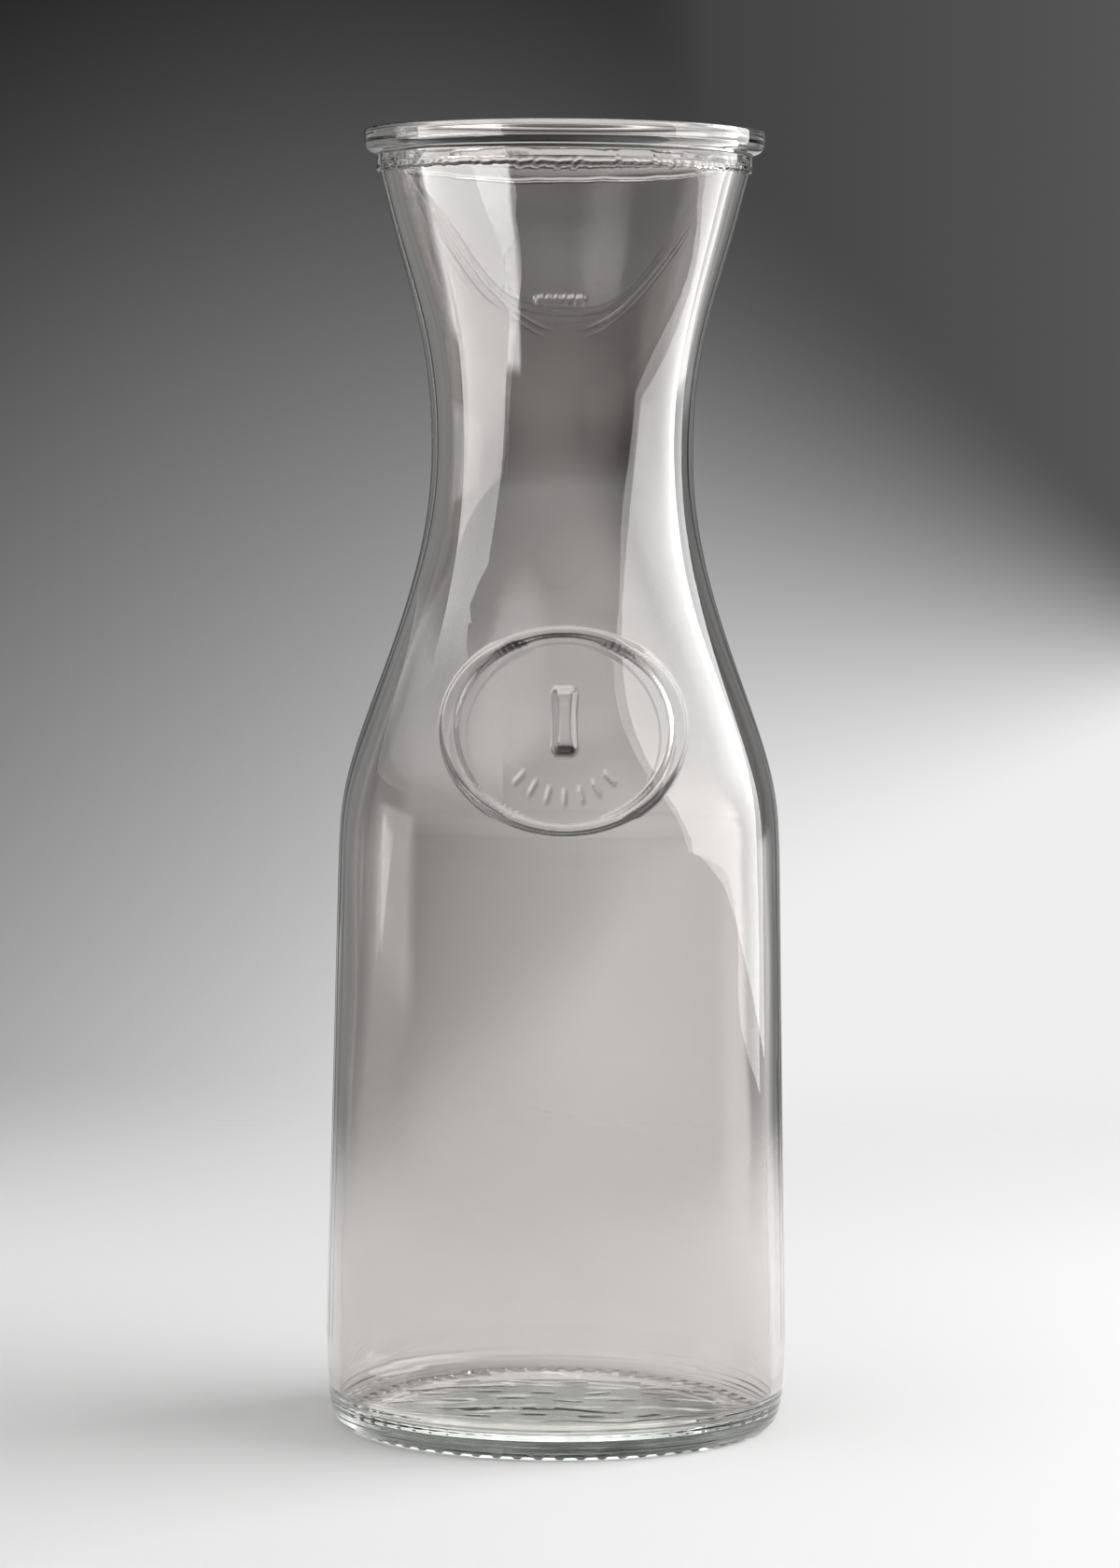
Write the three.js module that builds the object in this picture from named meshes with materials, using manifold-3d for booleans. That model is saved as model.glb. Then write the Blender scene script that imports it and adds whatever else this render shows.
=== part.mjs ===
// Wine jug: a one-litre carafe of clear soda-lime glass, pressed and blown in one piece.
// A heavy bead closes the flared mouth, the neck draws in to a waist for the hand, and a
// sloping shoulder carries an oval medallion above a tall, slightly tapered body.
// Millimetres, +Z up, origin at the centre of the ring that the jug stands on, front facing -Y.

import * as THREE from 'three';
import { mergeVertices } from 'three/addons/utils/BufferGeometryUtils.js';
import Module from 'manifold-3d';

// Body, shoulder and neck: the outside of the glass. A reach is how far a curve runs on in the
// direction that it starts or ends in.
const HEIGHT = 266;
const BODY_RADIUS = 47.2;
const BODY_LOWEST = 18;
const SHOULDER_RADIUS = 45.05;
const SHOULDER_HEIGHT = 124.5;
const SHOULDER_REACH = 17.2;
const WAIST_RADIUS = 26.45;
const WAIST_HEIGHT = 199;
const WAIST_REACH_DOWN = 30.8;
const WAIST_REACH_UP = 28.2;
const THROAT_RADIUS = 37.9;
const THROAT_REACH = 25;
const THROAT_ANGLE = 12;

// Glass thickness
const BODY_WALL = 2.7;
const NECK_WALL = 3.6;
const BASE_THICKNESS = 3.2;

// Lip: the bead round the mouth and the plain band under it
const LIP_RADIUS = 40.8;
const LIP_HEIGHT = 5.8;
const LIP_DRAFT = 0.7;
const LIP_ROUND = 1.6;
const LIP_FILLET = 1.4;
const THROAT_BAND = 2;

// Base: the rounded heel, the ring of ribs that it stands on and the pushed-up middle
const HEEL_REACH_OUT = 1;
const HEEL_REACH_DOWN = 14.5;
const RING_RADIUS = 42.8;
const RING_WIDTH = 3;
const PUSH_UP = 1;
const FLOOR_CORNER = 4.8;
const RIB_COUNT = 64;
const RIB_WIDTH = 2.4;
const RIB_HEIGHT = 0.7;

// Medallion: an oval rim round a plain field, on the front of the shoulder. The rim's crest
// leans towards the field as its lean falls below one.
const MEDALLION_HEIGHT = 144.9;
const MEDALLION_WIDTH = 49.8;
const MEDALLION_TALL = 40.7;
const FIELD_WIDTH = 41.6;
const FIELD_TALL = 36.7;
const FIELD_RELIEF = 0.35;
const RIM_RELIEF = 0.8;
const RIM_LEAN = 0.6;

// Raised numeral in the field, and the fill mark on the neck, which sits a little left of the middle
const NUMERAL_HEIGHT = 146.8;
const NUMERAL_TALL = 13.1;
const NUMERAL_WIDTH = 5.7;
const NUMERAL_WAIST = 4.8;
const NUMERAL_RELIEF = 0.7;
const NUMERAL_BEVEL = 0.6;
const MARK_HEIGHT = 230;
const MARK_ACROSS = -1.2;
const MARK_WIDTH = 11.4;
const MARK_TALL = 2.6;
const MARK_RELIEF = 0.5;
const MARK_BEVEL = 0.45;

// How deep raised work is rooted in the wall, and how far the rim's edge dips under its surface
const ROOT_DEPTH = 1.2;
const EDGE_DIP = 0.2;

// How finely curves are cut into facets
const TURN_STEPS = 60;
const CURVE_STEPS = 9;
const CORNER_STEPS = 3;
const OVAL_STEPS = 56;
const RIM_STEPS = 5;
const FIELD_STEPS = 3;
const RIB_END_STEPS = 2;
const BEVEL_STEPS = 2;

// Points closer than this are one point, and the wall's slope is measured over this height
const SAME_POINT = 1e-3;
const SLOPE_SPAN = 1;

const wasm = await Module();
wasm.setup();

const at = (radius, height) => new THREE.Vector2(radius, height);

// The side, the shoulder and the flare of the neck, from the heel up to the throat
const throatHeight = HEIGHT - LIP_HEIGHT - THROAT_BAND;
const throatLean = Math.tan(THREE.MathUtils.degToRad(THROAT_ANGLE));
const sideLean = (SHOULDER_RADIUS - BODY_RADIUS) / (SHOULDER_HEIGHT - BODY_LOWEST);

const heelTop = at(BODY_RADIUS, BODY_LOWEST);
const shoulder = at(SHOULDER_RADIUS, SHOULDER_HEIGHT);
const waist = at(WAIST_RADIUS, WAIST_HEIGHT);
const throat = at(THROAT_RADIUS, throatHeight);

const side = new THREE.LineCurve(heelTop, shoulder);
const shoulderCurve = new THREE.CubicBezierCurve(
  shoulder,
  at(SHOULDER_RADIUS + sideLean * SHOULDER_REACH, SHOULDER_HEIGHT + SHOULDER_REACH),
  at(WAIST_RADIUS, WAIST_HEIGHT - WAIST_REACH_DOWN),
  waist,
);
const flareCurve = new THREE.CubicBezierCurve(
  waist,
  at(WAIST_RADIUS, WAIST_HEIGHT + WAIST_REACH_UP),
  at(THROAT_RADIUS - throatLean * THROAT_REACH, throatHeight - THROAT_REACH),
  throat,
);

// The glass thickens from the body to the waist and keeps that thickness up to the lip
function wallAt(height) {
  const share = THREE.MathUtils.smoothstep(height, SHOULDER_HEIGHT, WAIST_HEIGHT);
  return THREE.MathUtils.lerp(BODY_WALL, NECK_WALL, share);
}

// Points along a stretch of the outside, each with the point of the inside that faces it
function stretch(curve, steps) {
  return Array.from({ length: steps + 1 }, (_, i) => {
    const outside = curve.getPoint(i / steps);
    const tangent = curve.getTangent(i / steps);
    const inward = at(-tangent.y, tangent.x);
    const inside = outside.clone().addScaledVector(inward, wallAt(outside.y));
    return { outside, inside };
  });
}

const wallStations = [
  ...stretch(side, 1),
  ...stretch(shoulderCurve, CURVE_STEPS).slice(1),
  ...stretch(flareCurve, CURVE_STEPS).slice(1),
];

// Underside and heel, from the axis out to the lowest part of the side
function basePoints() {
  const ringInner = RING_RADIUS - RING_WIDTH / 2;
  const ringOuter = RING_RADIUS + RING_WIDTH / 2;
  const middle = RIB_HEIGHT + PUSH_UP;
  const underside = new THREE.QuadraticBezierCurve(
    at(0, middle), at(ringInner / 2, middle), at(ringInner, RIB_HEIGHT));
  const heel = new THREE.CubicBezierCurve(
    at(ringOuter, RIB_HEIGHT),
    at(ringOuter + HEEL_REACH_OUT, RIB_HEIGHT),
    at(BODY_RADIUS, BODY_LOWEST - HEEL_REACH_DOWN),
    heelTop);
  return [...underside.getPoints(CORNER_STEPS), ...heel.getPoints(2 * CORNER_STEPS)];
}

// The bead: out from the band under it, up the drafted side, over the top and down inside
function lipPoints(insideThroat) {
  const underLip = HEIGHT - LIP_HEIGHT;
  const lip = new THREE.Path();
  lip.moveTo(THROAT_RADIUS, underLip - LIP_FILLET / 2);
  lip.quadraticCurveTo(
    THROAT_RADIUS, underLip, LIP_RADIUS - LIP_DRAFT, underLip + LIP_FILLET);
  lip.lineTo(LIP_RADIUS, HEIGHT - LIP_ROUND);
  lip.quadraticCurveTo(LIP_RADIUS, HEIGHT, LIP_RADIUS - LIP_ROUND, HEIGHT);
  const mouth = insideThroat.x + throatLean * (HEIGHT - insideThroat.y);
  lip.lineTo(mouth + LIP_ROUND, HEIGHT);
  lip.quadraticCurveTo(mouth, HEIGHT, mouth - throatLean * LIP_ROUND, HEIGHT - LIP_ROUND);
  return lip.getPoints(CORNER_STEPS);
}

// The floor inside: a rounded corner, then slightly domed towards the axis
function floorPoints(lowestInside) {
  const floorHeight = RIB_HEIGHT + BASE_THICKNESS;
  const corner = new THREE.QuadraticBezierCurve(
    at(lowestInside.x, floorHeight + FLOOR_CORNER),
    at(lowestInside.x, floorHeight),
    at(lowestInside.x - FLOOR_CORNER, floorHeight));
  const dome = new THREE.QuadraticBezierCurve(
    corner.v2, at(lowestInside.x / 2, floorHeight + PUSH_UP), at(0, floorHeight + PUSH_UP));
  return [...corner.getPoints(CORNER_STEPS), ...dome.getPoints(CORNER_STEPS).slice(1)];
}

function solidOf(geometry) {
  const bare = new THREE.BufferGeometry();
  bare.setAttribute('position', geometry.getAttribute('position'));
  bare.setIndex(geometry.index);
  const merged = mergeVertices(bare, SAME_POINT);
  const corners = merged.index.array;
  const kept = [];
  for (let i = 0; i < corners.length; i += 3) {
    const [a, b, c] = corners.subarray(i, i + 3);
    if (a !== b && b !== c && c !== a) kept.push(a, b, c);
  }
  return new wasm.Manifold(new wasm.Mesh({
    numProp: 3,
    vertProperties: new Float32Array(merged.getAttribute('position').array),
    triVerts: new Uint32Array(kept),
  }));
}

function geometryOf(solid) {
  const mesh = solid.getMesh();
  const geometry = new THREE.BufferGeometry();
  geometry.setAttribute('position', new THREE.BufferAttribute(mesh.vertProperties, 3));
  geometry.setIndex(new THREE.BufferAttribute(mesh.triVerts, 1));
  const facets = geometry.toNonIndexed();
  facets.computeVertexNormals();
  return facets;
}

// The jug itself, turned from its outline
function makeVessel() {
  const outside = wallStations.map((station) => station.outside);
  const inside = wallStations.map((station) => station.inside).reverse();
  const outline = [
    ...basePoints(),
    ...outside.slice(1),
    ...lipPoints(inside[0]),
    ...inside,
    ...floorPoints(inside.at(-1)),
  ];
  return solidOf(new THREE.LatheGeometry(outline, TURN_STEPS).rotateX(Math.PI / 2));
}

// Radius of the outside at a height on the side, shoulder or neck
function radiusAt(height) {
  const points = wallStations.map((station) => station.outside);
  const above = points.findIndex((point) => point.y > height);
  const [low, high] = [points[above - 1], points[above]];
  return THREE.MathUtils.mapLinear(height, low.y, high.y, low.x, high.x);
}

// Moves a point drawn on the front elevation (across, up) onto the wall, raised square to it
function onFront(across, up, raised) {
  const radius = radiusAt(up);
  const lean = (radiusAt(up + SLOPE_SPAN / 2) - radiusAt(up - SLOPE_SPAN / 2)) / SLOPE_SPAN;
  const wall = new THREE.Vector3(across, -Math.sqrt(radius * radius - across * across), up);
  const normal = new THREE.Vector3(wall.x, wall.y, -lean * radius).normalize();
  return wall.addScaledVector(normal, raised);
}

// An oval relief, drawn as rings of points from its middle out to its edge and back underneath
function makeMedallion() {
  const fieldRings = Array.from({ length: FIELD_STEPS }, (_, i) => ({
    width: FIELD_WIDTH * i / FIELD_STEPS,
    tall: FIELD_TALL * i / FIELD_STEPS,
    raised: FIELD_RELIEF,
  }));
  const rimRings = Array.from({ length: RIM_STEPS + 1 }, (_, i) => {
    const share = i / RIM_STEPS;
    const crest = RIM_RELIEF * Math.sin(Math.PI * share ** RIM_LEAN);
    return {
      width: THREE.MathUtils.lerp(FIELD_WIDTH, MEDALLION_WIDTH, share),
      tall: THREE.MathUtils.lerp(FIELD_TALL, MEDALLION_TALL, share),
      raised: THREE.MathUtils.lerp(FIELD_RELIEF, -EDGE_DIP, share) + crest,
    };
  });
  const top = [...fieldRings, ...rimRings];
  const underneath = top.map((ring) => ({ ...ring, raised: -ROOT_DEPTH })).reverse();
  const rings = [...top, ...underneath];
  const positions = rings.flatMap(({ width, tall, raised }) =>
    Array.from({ length: OVAL_STEPS }, (_, i) => {
      const angle = (i / OVAL_STEPS) * 2 * Math.PI;
      const across = width / 2 * Math.cos(angle);
      const up = MEDALLION_HEIGHT + tall / 2 * Math.sin(angle);
      return onFront(across, up, raised).toArray();
    }).flat());
  const corners = [];
  for (let ring = 0; ring + 1 < rings.length; ring += 1) {
    for (let i = 0; i < OVAL_STEPS; i += 1) {
      const next = (i + 1) % OVAL_STEPS;
      const [a, b] = [ring * OVAL_STEPS + i, ring * OVAL_STEPS + next];
      const [c, d] = [a + OVAL_STEPS, b + OVAL_STEPS];
      corners.push(a, c, b, b, c, d);
    }
  }
  const geometry = new THREE.BufferGeometry();
  geometry.setAttribute('position', new THREE.Float32BufferAttribute(positions, 3));
  geometry.setIndex(corners);
  return solidOf(geometry);
}

// A flat shape, thickened and wrapped on the wall with its middle at a place on the front elevation
function wrapped(shape, across, up, relief, bevel) {
  const geometry = new THREE.ExtrudeGeometry(shape, {
    depth: ROOT_DEPTH + relief - bevel,
    bevelThickness: bevel,
    bevelSize: bevel,
    bevelOffset: -bevel,
    bevelSegments: BEVEL_STEPS,
    curveSegments: CORNER_STEPS,
  });
  const position = geometry.getAttribute('position');
  for (let i = 0; i < position.count; i += 1) {
    const raised = position.getZ(i) - ROOT_DEPTH;
    const point = onFront(across + position.getX(i), up + position.getY(i), raised);
    position.setXYZ(i, point.x, point.y, point.z);
  }
  return solidOf(geometry);
}

// The numeral is a plain upright bar, a little narrower at its middle than at its ends
function makeNumeral() {
  const [halfWidth, halfTall] = [NUMERAL_WIDTH / 2, NUMERAL_TALL / 2];
  const pulledIn = NUMERAL_WAIST - halfWidth;
  const bar = new THREE.Shape();
  bar.moveTo(-halfWidth, -halfTall);
  bar.lineTo(halfWidth, -halfTall);
  bar.quadraticCurveTo(pulledIn, 0, halfWidth, halfTall);
  bar.lineTo(-halfWidth, halfTall);
  bar.quadraticCurveTo(-pulledIn, 0, -halfWidth, -halfTall);
  return wrapped(bar, 0, NUMERAL_HEIGHT, FIELD_RELIEF + NUMERAL_RELIEF, NUMERAL_BEVEL);
}

// A bar with round ends, lying along X
function roundEnded(length, width) {
  const radius = width / 2;
  const reach = length / 2 - radius;
  const bar = new THREE.Shape();
  bar.absarc(reach, 0, radius, -Math.PI / 2, Math.PI / 2);
  bar.absarc(-reach, 0, radius, Math.PI / 2, 1.5 * Math.PI);
  return bar;
}

function makeFillMark() {
  const bar = roundEnded(MARK_WIDTH, MARK_TALL);
  return wrapped(bar, MARK_ACROSS, MARK_HEIGHT, MARK_RELIEF, MARK_BEVEL);
}

// The ribs that keep the hot glass off the belt: short bars across the standing ring
function makeRibs() {
  const bar = roundEnded(RING_WIDTH, RIB_WIDTH);
  return Array.from({ length: RIB_COUNT }, (_, i) => {
    const rib = new THREE.ExtrudeGeometry(bar, {
      depth: RIB_HEIGHT + ROOT_DEPTH, bevelEnabled: false, curveSegments: RIB_END_STEPS,
    });
    rib.translate(RING_RADIUS, 0, 0).rotateZ((i / RIB_COUNT) * 2 * Math.PI);
    return solidOf(rib);
  });
}

const raisedWork = [makeMedallion(), makeNumeral(), makeFillMark(), ...makeRibs()];
const glass = raisedWork.reduce((whole, piece) => whole.add(piece), makeVessel());

const clearGlass = new THREE.MeshStandardMaterial({
  color: 0xdfe6e2,
  roughness: 0.05,
  metalness: 0,
  transparent: true,
  opacity: 0.35,
});

const jug = new THREE.Mesh(geometryOf(glass), clearGlass);
jug.name = 'glass_jug';

const group = new THREE.Group();
group.add(jug);

export default group;
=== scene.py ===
import math

import bpy
import numpy as np
from mathutils import Matrix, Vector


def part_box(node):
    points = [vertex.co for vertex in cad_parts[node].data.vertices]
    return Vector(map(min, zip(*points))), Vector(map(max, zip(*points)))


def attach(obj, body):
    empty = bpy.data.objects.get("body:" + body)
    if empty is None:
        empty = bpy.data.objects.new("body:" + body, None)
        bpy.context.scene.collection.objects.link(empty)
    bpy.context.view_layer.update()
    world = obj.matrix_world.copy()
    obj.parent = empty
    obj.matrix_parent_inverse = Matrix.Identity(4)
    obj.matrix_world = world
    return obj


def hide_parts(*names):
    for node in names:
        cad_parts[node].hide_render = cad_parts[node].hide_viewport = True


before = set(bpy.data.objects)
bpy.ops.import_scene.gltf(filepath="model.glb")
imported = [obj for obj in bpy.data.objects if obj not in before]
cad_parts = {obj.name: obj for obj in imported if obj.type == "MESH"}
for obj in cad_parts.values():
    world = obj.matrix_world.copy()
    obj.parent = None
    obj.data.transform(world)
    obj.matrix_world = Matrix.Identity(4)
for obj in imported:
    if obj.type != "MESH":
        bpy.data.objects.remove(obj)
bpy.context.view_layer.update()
scene = bpy.context.scene
scene.view_settings.view_transform = "Standard"

# Camera: a long lens a little over a metre in front of the jug, level with its neck and tipped down
# slightly, so that the mouth is seen almost edge on and the floor of the jug as a narrow oval.
CAMERA_DISTANCE = 1.0666
CAMERA_HEIGHT = 0.1994
CAMERA_TURN = math.radians(-1.2)
CAMERA_PITCH = math.radians(3.623)
CAMERA_ROLL = math.radians(0.414)
SENSOR_LONG_SIDE = 36.0
FOCAL_LENGTH = 119.56

lens = bpy.data.cameras.new("photo_lens")
lens.sensor_width = SENSOR_LONG_SIDE
lens.lens = FOCAL_LENGTH
camera = bpy.data.objects.new("photo_camera", lens)
camera.matrix_world = (
    Matrix.Rotation(CAMERA_TURN, 4, "Z")
    @ Matrix.Translation((0, -CAMERA_DISTANCE, CAMERA_HEIGHT))
    @ Matrix.Rotation(math.pi / 2 - CAMERA_PITCH, 4, "X")
    @ Matrix.Rotation(CAMERA_ROLL, 4, "Z")
)
scene.collection.objects.link(camera)
scene.camera = camera

# Wall of the jug: clear soda-lime glass, blown into a two-part mould from one gob, so that body,
# shoulder, neck and lip are one piece. The outside takes the mould's shape, and the inside follows it
# loosely, because only air presses it there.
cad_low, cad_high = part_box("glass_jug")
SLUMP = 0.0009
HEIGHT = cad_high.z - cad_low.z - SLUMP
BODY_RADIUS = cad_high.x
BODY_LOWEST = 0.018
SHOULDER_RADIUS = 0.04505
SHOULDER_HEIGHT = 0.1245
SHOULDER_REACH = 0.0172
WAIST_RADIUS = 0.02645
WAIST_HEIGHT = 0.199
WAIST_REACH_DOWN = 0.0308
WAIST_REACH_UP = 0.0282
THROAT_RADIUS = 0.0379
THROAT_REACH = 0.025
THROAT_LEAN = math.tan(math.radians(12))
THROAT_BAND = 0.002
LIP_HEIGHT = 0.0049
BODY_WALL = 0.0027
NECK_WALL = 0.0036
PROFILE_STEPS = 400
EVEN_STEPS = 3 * PROFILE_STEPS
JOINT_BLEND = 0.0055
BLEND_CLEAR = 3 * JOINT_BLEND

throat_height = HEIGHT - LIP_HEIGHT - THROAT_BAND
side_lean = (SHOULDER_RADIUS - BODY_RADIUS) / (SHOULDER_HEIGHT - BODY_LOWEST)


def bend(controls, steps):
    """Points of the Bezier curve with these control points, both ends included."""
    shares = np.linspace(0, 1, steps + 1)[:, None]
    points = [np.array(control, float) for control in controls]
    while len(points) > 1:
        points = [a + (b - a) * shares for a, b in zip(points, points[1:])]
    return points[0]


def ease(low_end, high_end, value):
    """0 below the low end, 1 above the high end, and a smooth rise between them."""
    share = np.clip((value - low_end) / (high_end - low_end), 0, 1)
    return share * share * (3 - 2 * share)


mould = np.vstack([
    bend([(BODY_RADIUS, BODY_LOWEST), (SHOULDER_RADIUS, SHOULDER_HEIGHT)], PROFILE_STEPS),
    bend([
        (SHOULDER_RADIUS, SHOULDER_HEIGHT),
        (SHOULDER_RADIUS + side_lean * SHOULDER_REACH, SHOULDER_HEIGHT + SHOULDER_REACH),
        (WAIST_RADIUS, WAIST_HEIGHT - WAIST_REACH_DOWN),
        (WAIST_RADIUS, WAIST_HEIGHT),
    ], PROFILE_STEPS)[1:],
    bend([
        (WAIST_RADIUS, WAIST_HEIGHT),
        (WAIST_RADIUS, WAIST_HEIGHT + WAIST_REACH_UP),
        (THROAT_RADIUS - THROAT_LEAN * THROAT_REACH, throat_height - THROAT_REACH),
        (THROAT_RADIUS, throat_height),
    ], PROFILE_STEPS)[1:],
])
even_heights = np.linspace(BODY_LOWEST, throat_height, EVEN_STEPS)
even_radii = np.interp(even_heights, mould[:, 1], mould[:, 0])
near = np.exp(-((even_heights[:, None] - even_heights[None, :]) / JOINT_BLEND) ** 2 / 2)
blended = near @ even_radii / near.sum(axis=1)
away_from_ends = ease(0, BLEND_CLEAR, even_heights - BODY_LOWEST) * (
    1 - ease(-BLEND_CLEAR, 0, even_heights - throat_height))
even_radii = even_radii + (blended - even_radii) * away_from_ends
outside = np.stack([even_radii, even_heights], axis=1)
outside_lean = np.gradient(outside[:, 0], outside[:, 1])
square = np.stack([np.ones(len(outside)), -outside_lean], axis=1)
square /= np.linalg.norm(square, axis=1)[:, None]
thickness = BODY_WALL + (NECK_WALL - BODY_WALL) * ease(SHOULDER_HEIGHT, WAIST_HEIGHT, outside[:, 1])
inside = outside - square * thickness[:, None]


def on_wall(profile, height):
    """Radius of the outside or inside at a height, and how fast the radius grows with height."""
    radius = np.interp(height, profile[:, 1], profile[:, 0])
    lean = np.interp(height, profile[:, 1], np.gradient(profile[:, 0], profile[:, 1]))
    return radius, lean


# Raised work of the mould: the oval medallion with its rim, plain numeral and arc of ticks, the fill mark
# on the neck, the two seams where the mould halves meet, and the ragged ring where the lip's mould sat on
# them. Each function gives a relief, from the place on the front or the turn in degrees, 0 at the front.
MEDALLION_HEIGHT = 0.1449
MEDALLION_WIDTH = 0.0498
MEDALLION_TALL = 0.0407
FIELD_WIDTH = 0.0416
FIELD_TALL = 0.0367
FIELD_RELIEF = 0.00035
RIM_RELIEF = 0.0011
RIM_INNER_EDGE = 0.16
RIM_OUTER_EDGE = 0.28
NO_RIM = 1e-9

NUMERAL_HEIGHT = 0.1468
NUMERAL_TALL = 0.0131
NUMERAL_WIDTH = 0.0057
NUMERAL_WAIST = 0.0048
NUMERAL_RELIEF = 0.0008
NUMERAL_BEVEL = 0.0014

TICK_COUNT = 7
TICK_ARC_RADIUS = 0.0128
TICK_ARC_HEIGHT = 0.1448
TICK_SPREAD = math.radians(88)
TICK_LONG = 0.0034
TICK_WIDE = 0.0009
TICK_RELIEF = 0.00014

MARK_HEIGHT = 0.230
MARK_ACROSS = -0.0012
MARK_WIDTH = 0.0114
MARK_TALL = 0.0026
MARK_RELIEF = 0.0002
MARK_RAGGED = 0.00015
MARK_WAVES = ((4100, 0), (7300, 1))

SEAM_TURN = 90.0
SEAM_HALF_WIDTH = 0.6
SEAM_RELIEF = 0.00012
NECK_RING_HEIGHT = 0.2570
NECK_RING_STEP = 0.0003
NECK_RING_FLASH = 0.00040
NECK_RING_HALF_WIDTH = 0.00034
NECK_RING_RAGGED = 0.00008
NECK_RING_WAVES = (7, 31, 67, 94, 127, 151)


def oval_reach(across, up, width, tall):
    return np.hypot(across / (width / 2), (up - MEDALLION_HEIGHT) / (tall / 2))


def medallion(across, up):
    past_field = np.maximum(oval_reach(across, up, FIELD_WIDTH, FIELD_TALL) - 1, 0)
    to_edge = np.maximum(1 - oval_reach(across, up, MEDALLION_WIDTH, MEDALLION_TALL), 0)
    share = past_field / np.maximum(past_field + to_edge, NO_RIM)
    relief = FIELD_RELIEF + (RIM_RELIEF - FIELD_RELIEF) * ease(0, RIM_INNER_EDGE, share)
    return relief * (1 - ease(1 - RIM_OUTER_EDGE, 1, share))


def rounded_bar(along, beside, half_long, half_wide, bevel):
    """A bar's relief from 0 to 1, with its edges and corners rounded over the bevel."""
    short_long = np.maximum(np.abs(along) - (half_long - bevel), 0)
    short_wide = np.maximum(np.abs(beside) - (half_wide - bevel), 0)
    return 1 - ease(0, bevel, np.hypot(short_long, short_wide))


def numeral(across, up):
    along = up - NUMERAL_HEIGHT
    flare = (along / (NUMERAL_TALL / 2)) ** 2
    half_wide = (NUMERAL_WAIST + (NUMERAL_WIDTH - NUMERAL_WAIST) * flare) / 2
    return NUMERAL_RELIEF * rounded_bar(along, across, NUMERAL_TALL / 2, half_wide, NUMERAL_BEVEL)


def ticks(across, up):
    total = np.zeros_like(across)
    for lean in np.linspace(-TICK_SPREAD / 2, TICK_SPREAD / 2, TICK_COUNT):
        aside = across - TICK_ARC_RADIUS * math.sin(lean)
        above = up - TICK_ARC_HEIGHT + TICK_ARC_RADIUS * math.cos(lean)
        along = above * math.cos(lean) - aside * math.sin(lean)
        beside = aside * math.cos(lean) + above * math.sin(lean)
        total = total + rounded_bar(along, beside, TICK_LONG / 2, TICK_WIDE / 2, TICK_WIDE / 2)
    return TICK_RELIEF * total


def fill_mark(across, up):
    ragged = MARK_RAGGED * sum(np.sin(across * waves + start) for waves, start in MARK_WAVES)
    along = across - MARK_ACROSS
    bar = rounded_bar(along, up - MARK_HEIGHT + ragged, MARK_WIDTH / 2, MARK_TALL / 2, MARK_TALL / 2)
    return MARK_RELIEF * bar


def mould_seams(turn):
    return SEAM_RELIEF * np.exp(-((np.abs(turn) - SEAM_TURN) / SEAM_HALF_WIDTH) ** 2)


def neck_ring(turn, up):
    angle = np.radians(turn)
    ragged = sum(np.sin(waves * angle + waves * waves) for waves in NECK_RING_WAVES)
    join = NECK_RING_HEIGHT + NECK_RING_RAGGED * ragged
    flash = np.exp(-((up - join) / NECK_RING_HALF_WIDTH) ** 2)
    step = ease(join - NECK_RING_HALF_WIDTH, join + NECK_RING_HALF_WIDTH, up)
    return NECK_RING_FLASH * flash + NECK_RING_STEP * step


# Skin of the jug: rings of points from the middle of the underside, out over the standing ring, up the
# outside, over the lip and down the inside to the middle of the floor. A ring that crosses raised work has
# more columns there.
COLUMN_STEP = 2.5
SEAM_COLUMNS = np.array([-1.5, -1.0, -0.5, 0.5, 1.0, 1.5]) * SEAM_HALF_WIDTH
FIRST_TURN = -180
TURN_DIGITS = 4
rings = []


def columns_with(half_width=0.0, step=COLUMN_STEP):
    """Turns of a ring's points in degrees, from -180: finer round the front and at the seams."""
    coarse = np.arange(FIRST_TURN, -FIRST_TURN, COLUMN_STEP)
    front = np.arange(-half_width, half_width + step / 2, step)
    kept = coarse[np.abs(coarse) > half_width] if half_width else coarse
    turns = np.concatenate([kept, front, SEAM_COLUMNS - SEAM_TURN, SEAM_COLUMNS + SEAM_TURN])
    return np.unique(np.round(turns, TURN_DIGITS))


def even_columns(count):
    return np.round(FIRST_TURN + 360 * np.arange(count) / count, TURN_DIGITS)


def add_ring(columns, radius, height):
    angle = np.radians(columns)
    points = [radius * np.sin(angle), -radius * np.cos(angle), height * np.ones(len(columns))]
    rings.append((columns, np.stack(points, axis=1)))


# Underside and standing ring: the middle is pushed up, and the jug stands on a ring of short ribs that
# the mould's bottom plate presses into it. The heel rounds up into the side, with fine lines round it.
RING_RADIUS = 0.0428
RING_WIDTH = 0.003
PUSH_UP = 0.001
UNDERSIDE_STEPS = 10
RIB_COUNT = 64
RIB_WIDTH = 0.0024
RIB_SPREAD = 1.35
RIB_HEIGHT = 0.0007
RIB_COLUMNS = 8
RIB_RINGS = 8
HEEL_REACH_OUT = 0.001
HEEL_REACH_DOWN = 0.0145
HEEL_LINES = (0.0019, 0.0033, 0.0049, 0.0068)
HEEL_LINE_RELIEF = 0.0002
HEEL_LINE_HALF_WIDTH = 0.00045
HEEL_LINED_ROWS = np.arange(0.0008, 0.0086, 0.00022)
HEEL_PLAIN_ROWS = np.arange(0.0090, BODY_LOWEST, 0.0012)

MIDDLE_COLUMN = np.array([-180.0])
plain_columns = columns_with()
ring_inner = RING_RADIUS - RING_WIDTH / 2
ring_outer = RING_RADIUS + RING_WIDTH / 2

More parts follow.
